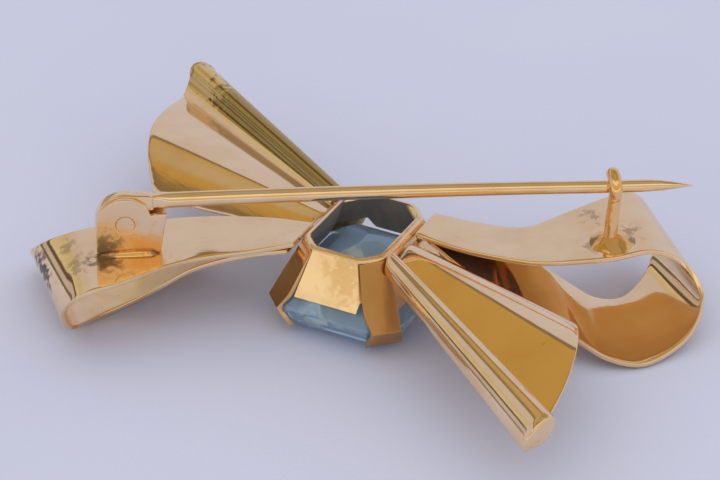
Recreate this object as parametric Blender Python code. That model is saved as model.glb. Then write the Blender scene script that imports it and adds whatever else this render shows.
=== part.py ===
"""Gold ribbon-bow brooch with a step-cut stone, lying face down on the stone's table.

Metres, +Z up. The origin is the middle of the stone's table, the X axis runs along the pin stem and
+Z points out of the brooch's back. The left loop and tail are drawn as they lie on the right, with
their own measures, and turned half round the Z axis.
"""

import math

import bmesh
import bpy
from mathutils import Matrix, Vector
from mathutils.bvhtree import BVHTree

MM = 0.001

# Stone
STONE_WIDTH = 12.0 * MM
STONE_LENGTH = 13.6 * MM
STONE_CORNER = 2.3 * MM
STONE_TURN = math.radians(59)
TABLE_INSET = 2.2 * MM
CROWN_HEIGHT = 2.45 * MM
LOWER_STEP_HEIGHT = 0.65 * MM
LOWER_STEP_INSET = 1.0 * MM
UPPER_STEP_HEIGHT = 1.45 * MM
UPPER_STEP_INSET = 0.4 * MM
GIRDLE_THICKNESS = 0.15 * MM
PAVILION_HEIGHT = 4.0 * MM
PAVILION_STEP_RISE = 1.5 * MM
PAVILION_STEP_INSET = 2.0 * MM

# Collet and claws
RIM_WIDTH = 7.3 * MM
RIM_LENGTH = 9.92 * MM
RIM_CORNER = 1.6 * MM
RIM_CORNER_BULGE = 0.14 * MM
FOOT_SIDE_INSET = 0.6 * MM
FOOT_END_INSET = 0.3 * MM
FOOT_RISE = 1.1 * MM
COLLET_HEIGHT = 4.2 * MM
COLLET_WALL = 0.38 * MM
POCKET_WALL = 0.3 * MM
POCKET_RISE = 0.9 * MM
CLAW_THICKNESS = 0.4 * MM
CLAW_RIM_RECESS = 0.05 * MM
CLAW_FOOT_RECESS = -0.48 * MM
CLAW_FOOT_GAP = 0.45 * MM
CLAW_TOP_DROP = 0.3 * MM
CLAW_WAIST = 2.35 * MM
CLAW_TIP_WIDTH = 3.0 * MM
CLAW_TIP_HEIGHT = 0.6 * MM

# Clearances between soldered pieces, and round what turns
SEAT_GAP = 0.06 * MM
TURNING_GAP = 0.06 * MM

# Ribbon loops
LOOP_SHEET = 0.45 * MM
LOOP_REACH = 27.7 * MM
LOOP_STRIP_DROP = 1.45 * MM
LOOP_DEPTH = 7.8 * MM
LOOP_FAR_WIDTH = 6.4 * MM
LOOP_NEAR_WIDTH = 4.3 * MM
LOOP_FRONT_WIDTH = 10.6 * MM
LOOP_ROOT_DROP = 0.25 * MM
LOOP_ROOT_SPACE = 1.3 * MM
LOOP_ROOT_NEAR = 1.1 * MM
LOOP_ROOT_FAR = 2.0 * MM
RIGHT_FRONT_SHIFT = 1.7 * MM
LEFT_FRONT_SHIFT = 0.3 * MM

# Ribbon tails, fanning out from an apex under the far side of the collet
TAIL_SHEET = 0.35 * MM
TAIL_APEX_X = -1.97 * MM
TAIL_APEX_Y = 3.92 * MM
TAIL_APEX_DROP = 0.45 * MM
RIGHT_TAIL_TURN = math.radians(-54)
LEFT_TAIL_TURN = math.radians(-52)
RIGHT_TAIL_SHIFT = 0.0 * MM
LEFT_TAIL_SHIFT = 1.0 * MM
RIGHT_ROLL_ANGLE = math.radians(13.9)
LEFT_ROLL_ANGLE = math.radians(12.5)
TAIL_RIDGE_ANGLE = math.radians(7.7)
TAIL_EDGE_ANGLE = math.radians(16.7)
TAIL_PANEL_TILT = math.radians(9.6)
TAIL_EDGE_TILT = math.radians(41)
RIGHT_ROLL_LENGTH = 33.3 * MM
RIGHT_RIDGE_LENGTH = 25.9 * MM
RIGHT_EDGE_LENGTH = 21.2 * MM
LEFT_ROLL_LENGTH = 33.8 * MM
LEFT_RIDGE_LENGTH = 28.1 * MM
LEFT_EDGE_LENGTH = 23.2 * MM
TAIL_EDGE_START = 0.5 * MM
ROLL_LEAN = math.radians(47)
ROLL_ROOT_DEPTH = 1.0 * MM
ROLL_END_DEPTH = 2.9 * MM
ROLL_ROOT_THICKNESS = 0.6 * MM
ROLL_END_THICKNESS = 1.5 * MM
ROLL_GAP = 0.12 * MM
RIGHT_ROLL_OVERHANG = 0.8 * MM
LEFT_ROLL_OVERHANG = 0.1 * MM

# Pin, hinge and catch
PIVOT_X = -19.5 * MM
PIVOT_RISE = 2.75 * MM
TANG_RADIUS = 2.45 * MM
TANG_BOSS = 1.45 * MM
TANG_THICKNESS = 1.0 * MM
PIN_RISE = 4.4 * MM
PIN_BOW = 0.2 * MM
PIN_ROOT_X = -17.15 * MM
PIN_ROOT_DIAMETER = 1.34 * MM
PIN_CATCH_DIAMETER = 1.06 * MM
PIN_TIP_X = 27.0 * MM
PIN_POINT = 3.8 * MM
PIN_POINT_DROP = 0.15 * MM
CHEEK_THICKNESS = 0.43 * MM
FRONT_CHEEK_RADIUS = 2.39 * MM
REAR_CHEEK_RADIUS = 2.1 * MM
CHEEK_SHOULDER = 3.4 * MM
CHEEK_SHOULDER_RISE = 0.88 * MM
CHEEK_FOOT = 2.8 * MM
RIVET_DIAMETER = 1.44 * MM
RIVET_PROUD = 0.04 * MM
CATCH_X = 20.5 * MM
CATCH_WIRE = 1.15 * MM
CATCH_PLAY = 0.05 * MM
CATCH_TWIST = math.radians(28)
CATCH_END = math.radians(68)
CATCH_FOOT_X = 20.1 * MM
CATCH_FOOT_Y = -1.6 * MM
CATCH_FOOT = 2.3 * MM
CATCH_FOOT_HEIGHT = 0.6 * MM

# Sizes that the ones above set
FOOT_WIDTH = STONE_WIDTH - 2 * FOOT_SIDE_INSET
FOOT_LENGTH = STONE_LENGTH - 2 * FOOT_END_INSET
GIRDLE_LOW = CROWN_HEIGHT
GIRDLE_HIGH = GIRDLE_LOW + GIRDLE_THICKNESS
FOOT_HEIGHT = GIRDLE_HIGH + FOOT_RISE
RIM_HEIGHT = FOOT_HEIGHT + COLLET_HEIGHT
STRIP_HEIGHT = RIM_HEIGHT - LOOP_STRIP_DROP
PIVOT_HEIGHT = STRIP_HEIGHT + PIVOT_RISE
PIN_HEIGHT = STRIP_HEIGHT + PIN_RISE

GOLD = (0.80, 0.55, 0.30, 1.0)
PALE_GOLD = (0.83, 0.62, 0.42, 1.0)
DEEP_GOLD = (0.76, 0.47, 0.20, 1.0)
STONE_BLUE = (0.36, 0.55, 0.68, 1.0)

# The stone's short and long directions in plan. The long side of the collet faces SHORT_WAY.
LONG_WAY = Vector((math.cos(STONE_TURN), math.sin(STONE_TURN), 0))
SHORT_WAY = Vector((LONG_WAY.y, -LONG_WAY.x, 0))
UP = Vector((0, 0, 1))


def material(name, colour, roughness, metallic):
    made = bpy.data.materials.new(name)
    made.use_nodes = True
    shader = made.node_tree.nodes["Principled BSDF"]
    shader.inputs["Base Color"].default_value = colour
    shader.inputs["Roughness"].default_value = roughness
    shader.inputs["Metallic"].default_value = metallic
    return made


def add_object(name, mesh, finish):
    made = bpy.data.objects.new(name, mesh)
    bpy.context.scene.collection.objects.link(made)
    if not mesh.materials:
        mesh.materials.append(finish)
    return made


def add_helper(name, mesh, owner):
    """A cutter or joiner that only a modifier uses."""
    helper = add_object(name, mesh, owner.data.materials[0])
    helper.hide_render = True
    helper.display_type = "WIRE"
    return helper


def mesh_from(name, solid):
    """A mesh of this bmesh, with its faces outward, and smooth up to a sharp edge."""
    bmesh.ops.recalc_face_normals(solid, faces=solid.faces[:])
    mesh = bpy.data.meshes.new(name)
    solid.to_mesh(mesh)
    solid.free()
    mesh.shade_smooth()
    mesh.set_sharp_from_angle(angle=math.radians(40))
    return mesh


def lattice(solid, rows, closed=False):
    """Faces over a grid of points. Returns the grid's vertices."""
    made = [[solid.verts.new(point) for point in row] for row in rows]
    for low, high in zip(made, made[1:]):
        width = len(low)
        for i in range(width if closed else width - 1):
            j = (i + 1) % width
            solid.faces.new((low[i], low[j], high[j], high[i]))
    return made


def grid_normal(rows, r, c):
    down = rows[min(r + 1, len(rows) - 1)][c] - rows[max(r - 1, 0)][c]
    across = rows[r][min(c + 1, len(rows[r]) - 1)] - rows[r][max(c - 1, 0)]
    return down.cross(across).normalized()


def sheet_mesh(name, rows, thickness):
    """A closed sheet whose one side is this grid, and whose other side lies along the grid's normals."""
    other = [
        [point + grid_normal(rows, r, c) * thickness for c, point in enumerate(row)]
        for r, row in enumerate(rows)
    ]
    solid = bmesh.new()
    first = lattice(solid, rows)
    second = lattice(solid, other)

    def border(grid):
        left = [row[0] for row in grid]
        right = [row[-1] for row in grid]
        return grid[0][:-1] + right[:-1] + grid[-1][:0:-1] + left[:0:-1]

    one, two = border(first), border(second)
    for i in range(len(one)):
        j = (i + 1) % len(one)
        solid.faces.new((one[i], one[j], two[j], two[i]))
    return mesh_from(name, solid)


def tube(solid, centres, radii, sides):
    """A closed tube through these centres."""
    rows = []
    side = Vector((0, 1, 0))
    for i, centre in enumerate(centres):
        ahead = centres[min(i + 1, len(centres) - 1)]
        behind = centres[max(i - 1, 0)]
        along = (ahead - behind).normalized()
        if abs(side.dot(along)) > 0.9:
            side = Vector((1, 0, 0))
        side = (side - along * side.dot(along)).normalized()
        over = along.cross(side)
        turns = [math.tau * k / sides for k in range(sides)]
        rows.append([centre + (side * math.cos(a) + over * math.sin(a)) * radii[i] for a in turns])
    made = lattice(solid, rows, closed=True)
    solid.faces.new(made[0])
    solid.faces.new(made[-1])


def plate_mesh(name, outline, front, back):
    """An outline of (x, z) points as a plate between two y positions."""
    solid = bmesh.new()
    face = solid.faces.new([solid.verts.new((x, front, z)) for x, z in outline])
    grown = bmesh.ops.extrude_face_region(solid, geom=[face])
    moved = [item for item in grown["geom"] if isinstance(item, bmesh.types.BMVert)]
    bmesh.ops.translate(solid, verts=moved, vec=(0, back - front, 0))
    return mesh_from(name, solid)


def rod_mesh(name, radius, half_length):
    """A round rod along Y."""
    solid = bmesh.new()
    bmesh.ops.create_cone(
        solid,
        cap_ends=True,
        segments=24,
        radius1=radius,
        radius2=radius,
        depth=2 * half_length,
        matrix=Matrix.Rotation(math.pi / 2, 4, "X"),
    )
    return mesh_from(name, solid)


def drill(target, radius, half_length):
    """A round hole along Y on the hinge's pivot."""
    cutter = add_helper(target.name + "_drill", rod_mesh("drill", radius, half_length), target)
    cutter.location = (PIVOT_X, 0, PIVOT_HEIGHT)
    cut = target.modifiers.new("rivet hole", "BOOLEAN")
    cut.operation = "DIFFERENCE"
    cut.object = cutter


def arc(centre, radius, start, end, count):
    """Points of an arc in a plane."""
    angles = [start + (end - start) * k / count for k in range(count + 1)]
    return [(centre[0] + radius * math.cos(a), centre[1] + radius * math.sin(a)) for a in angles]


def through(points, steps):
    """A smooth curve through these points, with this many steps between each two."""
    knots = [points[0] * 2 - points[1], *points, points[-1] * 2 - points[-2]]
    curve = []
    for a, b, c, d in zip(knots, knots[1:], knots[2:], knots[3:]):
        for k in range(steps):
            t = k / steps
            bend = (a * 2 - b * 5 + c * 4 - d) * t**2 + (b * 3 - a - c * 3 + d) * t**3
            curve.append((b * 2 + (c - a) * t + bend) / 2)
    curve.append(points[-1])
    return curve


def octagon(half_width, half_length, leg, height):
    """Eight points round the Z axis, from the start of the long side that faces SHORT_WAY."""
    corners = (
        (half_width, leg - half_length),
        (half_width, half_length - leg),
        (half_width - leg, half_length),
        (leg - half_width, half_length),
        (-half_width, half_length - leg),
        (-half_width, leg - half_length),
        (leg - half_width, -half_length),
        (half_width - leg, -half_length),
    )
    return [SHORT_WAY * a + LONG_WAY * b + UP * height for a, b in corners]


def stone_ring(inset, height):
    """The stone's outline drawn in by the same inset on all eight sides."""
    leg = STONE_CORNER - inset * (2 - math.sqrt(2))
    return octagon(STONE_WIDTH / 2 - inset, STONE_LENGTH / 2 - inset, leg, height)


def collet_share(height):
    """0 at the collet's rim, 1 at its foot."""
    return (RIM_HEIGHT - height) / COLLET_HEIGHT


def wall_distance(height):
    """From the Z axis to the outer face of the collet's long side."""
    return (RIM_WIDTH + (FOOT_WIDTH - RIM_WIDTH) * collet_share(height)) / 2


def collet_outline(height, inset=0, corner_growth=0):
    """The collet's outline at this height, drawn in on its four sides, with its corner cuts grown."""
    share = collet_share(height)
    half_length = (RIM_LENGTH + (FOOT_LENGTH - RIM_LENGTH) * share) / 2
    leg = RIM_CORNER + (STONE_CORNER - RIM_CORNER) * share + corner_growth
    return octagon(wall_distance(height) - inset, half_length - inset, leg, height)


def claw_recess(height):
    return CLAW_RIM_RECESS + (CLAW_FOOT_RECESS - CLAW_RIM_RECESS) * collet_share(height)


def corner_edge(ring, corner):
    """The two ends of an outline's corner cut, and its outward direction."""
    start, end = ring[(2 * corner + 1) % 8], ring[(2 * corner + 2) % 8]
    sideways = (end - start).normalized()
    return start, end, Vector((sideways.y, -sideways.x, 0))


def make_stone(finish):
    seat_inset = STONE_WIDTH / 2 - (FOOT_WIDTH / 2 - COLLET_WALL - SEAT_GAP)
    step_inset = seat_inset + PAVILION_STEP_INSET
    solid = bmesh.new()
    made = lattice(
        solid,
        [
            stone_ring(TABLE_INSET, 0),
            stone_ring(LOWER_STEP_INSET, LOWER_STEP_HEIGHT),
            stone_ring(UPPER_STEP_INSET, UPPER_STEP_HEIGHT),
            stone_ring(0, GIRDLE_LOW),
            stone_ring(0, GIRDLE_HIGH),
            stone_ring(seat_inset, FOOT_HEIGHT),
            stone_ring(step_inset, FOOT_HEIGHT + PAVILION_STEP_RISE),
        ],
        closed=True,
    )
    solid.faces.new(made[0])
    top = UP * (GIRDLE_HIGH + PAVILION_HEIGHT)
    keel = LONG_WAY * ((STONE_LENGTH - STONE_WIDTH) / 2)
    far_end, near_end = solid.verts.new(top + keel), solid.verts.new(top - keel)
    last = made[-1]
    solid.faces.new((last[0], last[1], far_end, near_end))
    solid.faces.new((last[4], last[5], near_end, far_end))
    for first in (1, 2, 3):
        solid.faces.new((last[first], last[first + 1], far_end))
        solid.faces.new((last[first + 4], last[(first + 5) % 8], near_end))
    mesh = mesh_from("stone", solid)
    mesh.shade_flat()
    return add_object("stone", mesh, finish)


def collet_ring(height, pocket_height):
    """Outer and inner points of the collet's wall, with an open pocket for a claw at each corner."""
    outer, inner = [], []
    floor = claw_recess(pocket_height) + CLAW_THICKNESS + SEAT_GAP
    depth = math.sqrt(2) * (floor + POCKET_WALL) - 2 * COLLET_WALL
    level_ring = collet_outline(height, COLLET_WALL, depth)
    pocket_ring = collet_outline(pocket_height, COLLET_WALL, depth)
    outline = collet_outline(height)
    gap = CLAW_FOOT_GAP * collet_share(height)
    for corner in range(4):
        start, end, outward = corner_edge(outline, corner)
        start += (outline[2 * corner] - start).normalized() * gap
        floor_start, floor_end, _ = corner_edge(collet_outline(pocket_height), corner)
        outer += [start, floor_start - outward * floor, floor_end - outward * floor, end]
        back_start, back_end, _ = corner_edge(pocket_ring, corner)
        wall_start, wall_end, _ = corner_edge(level_ring, corner)
        before, after = level_ring[2 * corner], level_ring[(2 * corner + 3) % 8]
        wall_start += (before - wall_start).normalized() * POCKET_RISE
        wall_end += (after - wall_end).normalized() * POCKET_RISE
        inner += [wall_start, back_start, back_end, wall_end]
    return outer, inner


def rim_ring(height, inset):
    """The collet's outline with its corner cuts rounded out a little."""
    points = []
    for corner in range(4):
        start, end, outward = corner_edge(collet_outline(height, inset, -inset * 0.6), corner)
        bulge = outward * RIM_CORNER_BULGE
        points += [start, start.lerp(end, 0.28) + bulge, start.lerp(end, 0.72) + bulge, end]
    return points


def make_collet(finish):
    """The wall's pockets end under a thin closed rim."""
    ceiling = RIM_HEIGHT - CLAW_TOP_DROP
    foot_outer, foot_inner = collet_ring(FOOT_HEIGHT, FOOT_HEIGHT + POCKET_RISE)
    neck_outer, neck_inner = collet_ring(ceiling, ceiling)
    neck = rim_ring(ceiling, 0)
    neck[::4], neck[3::4] = neck_outer[::4], neck_outer[3::4]
    rings = [foot_inner, foot_outer, neck_outer, neck, rim_ring(RIM_HEIGHT, 0)]
    rings += [rim_ring(RIM_HEIGHT, COLLET_WALL), neck_inner, foot_inner]
    solid = bmesh.new()
    lattice(solid, rings, closed=True)
    bmesh.ops.remove_doubles(solid, verts=solid.verts[:], dist=1e-7)
    return add_object("collet", mesh_from("collet", solid), finish)


def make_claw(corner, finish):
    """A strip down the collet's corner, round the stone's edge and over its crown."""
    name = f"claw_{corner + 1}"
    clear = CLAW_THICKNESS + SEAT_GAP
    rows = []

    def station(ring, out, width):
        start, end, outward = corner_edge(ring, corner)
        middle = (start + end) / 2 + outward * out
        half = (end - start).normalized() * (width / 2)
        rows.append([middle - half, middle, middle + half])

    top = RIM_HEIGHT - CLAW_TOP_DROP - SEAT_GAP
    for height in (top, FOOT_HEIGHT + POCKET_RISE, FOOT_HEIGHT):
        ring = collet_outline(height)
        start, end, _ = corner_edge(ring, corner)
        width = (end - start).length - 2 * SEAT_GAP
        station(ring, -claw_recess(height), min(width, CLAW_TIP_WIDTH))
    station(stone_ring(0, GIRDLE_LOW), clear * 1.4, CLAW_WAIST)
    station(stone_ring(UPPER_STEP_INSET, UPPER_STEP_HEIGHT), clear * 1.1, CLAW_TIP_WIDTH)
    middle_height = (UPPER_STEP_HEIGHT + CLAW_TIP_HEIGHT) / 2
    station(stone_ring(LOWER_STEP_INSET, middle_height), clear * 1.9, CLAW_TIP_WIDTH)
    station(stone_ring(LOWER_STEP_INSET, CLAW_TIP_HEIGHT), clear * 1.2, CLAW_TIP_WIDTH)
    return add_object(name, sheet_mesh(name, rows, -CLAW_THICKNESS), finish)


def loop_root(height, y):
    """The point of a loop's end that meets the collet's long side, at this height."""
    distance = wall_distance(height - LOOP_SHEET) + 2 * SEAT_GAP
    return Vector(((distance - SHORT_WAY.y * y) / SHORT_WAY.x, y, height))


def loop_edges(front_shift):
    """Far and near edges of the right loop's outer side, from its back end round to its front end."""
    fall = LOOP_DEPTH - LOOP_STRIP_DROP

    def far(along, across, share, shift=0.0):
        y = LOOP_FAR_WIDTH * across - front_shift * shift
        return Vector((LOOP_REACH * along, y, STRIP_HEIGHT - fall * share))

    def near(along, width, across, share):
        return Vector((LOOP_REACH * along, -width * across, STRIP_HEIGHT - fall * share))

    back = RIM_HEIGHT - LOOP_ROOT_DROP
    front = back - LOOP_ROOT_SPACE
    far_edge = [
        loop_root(back, LOOP_ROOT_FAR),
        far(0.343, 0.266, -0.055),
        far(0.48, 0.242, 0.031),
        far(0.6, 0.484, 0),
        far(0.729, 0.828, 0),
        far(0.816, 1, 0),
        far(0.874, 0.969, 0.181),
        far(0.903, 0.766, 0.528),
        far(0.877, 0.594, 0.874, 0.6),
        far(0.787, 0.188, 1, 1),
        far(0.69, 0.016, 0.906, 1),
        far(0.606, 0, 0.701, 0.7),
        far(0.502, 0, 0.417, 0.25),
        far(0.354, 0.156, 0.134),
        loop_root(front, LOOP_ROOT_FAR * 0.85),
    ]
    near_edge = [
        loop_root(back, -LOOP_ROOT_NEAR),
        near(0.289, LOOP_NEAR_WIDTH, 0.7, -0.11),
        near(0.48, LOOP_NEAR_WIDTH, 1, -0.024),
        near(0.614, LOOP_NEAR_WIDTH, 0.977, 0),
        near(0.74, LOOP_NEAR_WIDTH, 0.884, 0),
        near(0.852, LOOP_NEAR_WIDTH, 0.686, 0),
        near(0.953, LOOP_FRONT_WIDTH, 0.311, 0.197),
        near(1, LOOP_FRONT_WIDTH, 0.491, 0.543),
        near(0.946, LOOP_FRONT_WIDTH, 0.755, 0.858),
        near(0.812, LOOP_FRONT_WIDTH, 0.991, 1),
        near(0.7, LOOP_FRONT_WIDTH, 1, 0.921),
        near(0.614, LOOP_FRONT_WIDTH, 0.896, 0.764),
        near(0.469, LOOP_FRONT_WIDTH, 0.64, 0.52),
        near(0.325, LOOP_FRONT_WIDTH, 0.39, 0.31),
        loop_root(front, -LOOP_ROOT_NEAR / 2),
    ]
    return through(far_edge, 4), through(near_edge, 4)


def loop_mesh(name, front_shift):
    """A loop as it lies on the right."""
    far, near = loop_edges(front_shift)
    shares = (0, 0.34, 0.67, 1)
    rows = [[a.lerp(b, share) for share in shares] for a, b in zip(near, far)]
    return sheet_mesh(name, rows, -LOOP_SHEET)


def tail_end(slope, roll_angle, lengths):
    """How far from the apex the ribbon ends, along the line at this sideways slope."""
    places = [math.tan(a) for a in (roll_angle, -TAIL_RIDGE_ANGLE, -TAIL_EDGE_ANGLE)]
    total = 0
    for place, length in zip(places, lengths):
        for other in places:
            if other != place:
                length *= (slope - other) / (place - other)
        total += length
    return total


def tail_profile(reach, roll_angle, start, end):
    """Upper side of the tail at this distance from its apex, as (sideways, height) points."""
    edge, ridge, roll = (
        math.tan(angle) for angle in (-TAIL_EDGE_ANGLE, -TAIL_RIDGE_ANGLE, roll_angle)
    )
    low = Vector((edge, (edge - ridge) * math.tan(TAIL_EDGE_TILT)))
    top = Vector((ridge, 0))
    foot = Vector((roll, (ridge - roll) * math.tan(TAIL_PANEL_TILT)))
    soft_start, soft_end = top.lerp(low, 0.45), top.lerp(foot, 0.3)
    points = [low.lerp(soft_start, share) * reach for share in (0, 0.5)]
    for share in (0, 0.2, 0.4, 0.6, 0.8, 1):
        soft = soft_start.lerp(top, share).lerp(top.lerp(soft_end, share), share)
        points.append(soft * reach)
    points += [soft_end.lerp(foot, share) * reach for share in (0.25, 0.5, 0.75)]
    grown = (reach - start) / (end - start)
    depth = (ROLL_ROOT_DEPTH + (ROLL_END_DEPTH - ROLL_ROOT_DEPTH) * grown) / 2
    thickness = (ROLL_ROOT_THICKNESS + (ROLL_END_THICKNESS - ROLL_ROOT_THICKNESS) * grown) / 2
    over = Vector((-math.cos(ROLL_LEAN), math.sin(ROLL_LEAN))) * depth
    out = Vector((math.sin(ROLL_LEAN), math.cos(ROLL_LEAN))) * thickness
    first = math.pi + math.atan(thickness / depth / math.tan(ROLL_LEAN - TAIL_PANEL_TILT))

    def scroll(turn):
        return over * math.cos(turn) + out * math.sin(turn) - over * math.cos(first) - out * math.sin(first)

    def over_panel(turn):
        """From the panel to the scroll's outer side."""
        outward = over * (math.cos(turn) / depth**2) + out * (math.sin(turn) / thickness**2)
        outer = scroll(turn) + outward.normalized() * TAIL_SHEET
        return outer.dot(Vector((math.sin(TAIL_PANEL_TILT), math.cos(TAIL_PANEL_TILT))))

    high, low_turn = 0.0, -math.pi / 2
    for _ in range(24):
        middle = (high + low_turn) / 2
        if over_panel(middle) > ROLL_GAP:
            high = middle
        else:
            low_turn = middle
    turns = [first + (high - first) * k / 18 for k in range(19)]
    return points + [foot * reach + scroll(turn) for turn in turns]


def tail_mesh(name, turn, shift, roll_angle, overhang, lengths):
    """A tail as it lies on the right, with each line of the fan starting where it clears the collet.

    The lengths are those of its roll, ridge and edge. The roll's free side ends further by the overhang.
    """
    roll_length = lengths[0]
    along = Vector((math.cos(turn), math.sin(turn), 0))
    across = Vector((along.y, -along.x, 0))
    apex = Vector((TAIL_APEX_X, TAIL_APEX_Y, RIM_HEIGHT - TAIL_APEX_DROP)) + across * shift
    root = (wall_distance(RIM_HEIGHT) - SHORT_WAY.dot(apex)) / SHORT_WAY.dot(along)
    flat_columns = 11
    last = tail_profile(roll_length, roll_angle, root, roll_length)
    columns = len(last)

    def place(reach, column):
        sideways, height = tail_profile(reach, roll_angle, root, roll_length)[column]
        return apex + along * reach + across * sideways + UP * height

    roll_slope = math.tan(roll_angle)
    lines = []
    for column in range(columns):
        rolled = max(0, column - flat_columns) / (columns - 1 - flat_columns)
        start = root
        for _ in range(8):
            point = place(start, column)
            clear = SEAT_GAP + TAIL_SHEET * 0.7
            missing = wall_distance(point.z) + clear - SHORT_WAY.dot(point)
            start += missing / SHORT_WAY.dot(along)
        start += TAIL_EDGE_START * max(0, 1 - column / 6)
        slope = roll_slope if rolled else last[column][0] / roll_length
        end = tail_end(slope, roll_angle, lengths)
        end += overhang * (1 - (1 - rolled) ** 2)
        lines.append([place(start + (end - start) * k / 5, column) for k in range(6)])
    return sheet_mesh(name, list(zip(*lines)), TAIL_SHEET)


def highest_on(tree, places):
    """Greatest height of a solid's upper side over these (x, y) places."""
    hits = [tree.ray_cast(Vector((x, y, 1)), -UP)[0] for x, y in places]
    return max(hit.z for hit in hits if hit)


def loop_tree(mesh, turn):
    solid = bmesh.new()
    solid.from_mesh(mesh)
    solid.transform(Matrix.Rotation(turn, 4, "Z"))
    tree = BVHTree.FromBMesh(solid)
    solid.free()
    return tree


def pin_height(x):
    """Height of the pin's centre line, which bows up a little and dips at the point."""
    share = (x - PIVOT_X) / (CATCH_X - PIVOT_X)
    past = max(0, (x - PIN_TIP_X + PIN_POINT) / PIN_POINT)
    return PIN_HEIGHT + 4 * PIN_BOW * share * max(0, 1 - share) - PIN_POINT_DROP * past**2


def pin_radius(x):
    share = (x - PIVOT_X) / (CATCH_X - PIVOT_X)
    body = (PIN_ROOT_DIAMETER + (PIN_CATCH_DIAMETER - PIN_ROOT_DIAMETER) * share) / 2
    left = (PIN_TIP_X - x) / PIN_POINT
    return body * max(0.06, math.sin(math.pi / 2 * min(1, left)))


def make_pin(finish):
    pivot = Vector((PIVOT_X, 0, PIVOT_HEIGHT))
    neck = PIN_ROOT_X - PIVOT_X
    middle = PIN_HEIGHT - PIVOT_HEIGHT
    half = PIN_ROOT_DIAMETER / 2
    inside = half * 0.6
    outline = arc((0, 0), TANG_RADIUS, math.radians(75), math.radians(215), 16)
    outline += arc((0, 0), TANG_BOSS, math.radians(225), math.radians(375), 12)
    outline += [(neck * 0.82, middle - half), (neck + half, middle - inside)]
    outline += [(neck + half, middle + inside), (neck * 0.82, middle + half)]
    mesh = plate_mesh("pin_stem", outline, -TANG_THICKNESS / 2, TANG_THICKNESS / 2)
    stem = add_object("pin_stem", mesh, finish)
    stem.location = pivot
    first, body_end = PIN_ROOT_X, PIN_TIP_X - PIN_POINT
    places = [first, first + half / 2]
    places += [first + half + (body_end - first - half) * k / 12 for k in range(13)]
    places += [PIN_TIP_X - PIN_POINT * share for share in (0.8, 0.6, 0.4, 0.2, 0)]
    radii = [pin_radius(x) for x in places]
    radii[0] *= 0.7
    radii[1] *= 0.92
    solid = bmesh.new()
    tube(solid, [Vector((x, 0, pin_height(x))) - pivot for x in places], radii, 14)
    wire = add_helper("pin_wire", mesh_from("pin_wire", solid), stem)
    wire.location = pivot
    join = stem.modifiers.new("wire", "BOOLEAN")
    join.operation = "UNION"
    join.object = wire
    drill(stem, RIVET_DIAMETER / 2 + TURNING_GAP, TANG_THICKNESS)
    return stem


def make_cheek(name, side, radius, tree, finish):
    """A hinge plate whose foot follows the loop under it."""
    inner = side * (TANG_THICKNESS / 2 + TURNING_GAP)
    outer = inner + side * CHEEK_THICKNESS
    left, right = PIVOT_X - radius, PIVOT_X + CHEEK_FOOT
    shoulder = PIVOT_HEIGHT + CHEEK_SHOULDER_RISE
    outline = arc((PIVOT_X, PIVOT_HEIGHT), radius, math.pi, math.radians(42), 14)
    notch = outline[-1][0] + 0.3 * MM
    outline += [(notch, shoulder - 0.12 * MM), (notch + 0.2 * MM, shoulder)]
    outline.append((PIVOT_X + CHEEK_SHOULDER, shoulder))
    steps = 8
    for k in range(steps + 1):
        x = right + (left - right) * k / steps
        around = [(x + dx, y) for dx in (-0.3 * MM, 0, 0.3 * MM) for y in (inner, outer)]
        outline.append((x, highest_on(tree, around) + SEAT_GAP))
    cheek = add_object(name, plate_mesh(name, outline, inner, outer), finish)
    drill(cheek, RIVET_DIAMETER / 2 + SEAT_GAP, 2 * abs(outer))
    return cheek


def make_rivet(finish):
    half = TANG_THICKNESS / 2 + TURNING_GAP + CHEEK_THICKNESS + RIVET_PROUD
    rivet = add_object("hinge_rivet", rod_mesh("hinge_rivet", RIVET_DIAMETER / 2, half), finish)
    rivet.location = (PIVOT_X, 0, PIVOT_HEIGHT)
    return rivet


def make_catch(tree, finish):
    """A bent wire that rises on the near side of the pin and hooks over it."""
    wire = CATCH_WIRE / 2
    foot = CATCH_FOOT / 2
    bend = pin_radius(CATCH_X) + CATCH_PLAY + wire
    level = pin_height(CATCH_X)
    middle = (CATCH_FOOT_X, CATCH_FOOT_Y)
    around = [middle] + arc(middle, foot, 0, math.tau, 8)
    seat = highest_on(tree, around) + SEAT_GAP
    hook = arc((0, level), bend, math.radians(205), CATCH_END, 14)
    rise = hook[0][1] - seat - CATCH_FOOT_HEIGHT
    shank = []
    for share, across in ((0, 0), (0.25, 0.1), (0.5, 0.42), (0.75, 0.8)):
        y = CATCH_FOOT_Y + (hook[0][0] - CATCH_FOOT_Y) * across
        shank.append((y, seat + CATCH_FOOT_HEIGHT + rise * share))
    spread = ((0, 1), (0.3, 0.55), (0.65, 0.15))
    path = [(CATCH_FOOT_Y, seat + CATCH_FOOT_HEIGHT * share) for share, _ in spread]
    radii = [wire + (foot - wire) * flare for _, flare in spread]
    path += [*shank, *hook]
    radii += [wire] * (len(shank) + len(hook))
    radii[-1] = wire * 0.8
    centres = []
    for y, z in path:
        lean = -math.tan(CATCH_TWIST) * (y + bend) * max(0, z - level) / (z - seat + wire)
        low = min(1, max(0, (level - z) / (level - shank[0][1])))
        centres.append(Vector((CATCH_X + lean + (CATCH_FOOT_X - CATCH_X) * low, y, z)))
    solid = bmesh.new()
    tube(solid, centres, radii, 14)
    return add_object("catch_hook", mesh_from("catch_hook", solid), finish)


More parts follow.
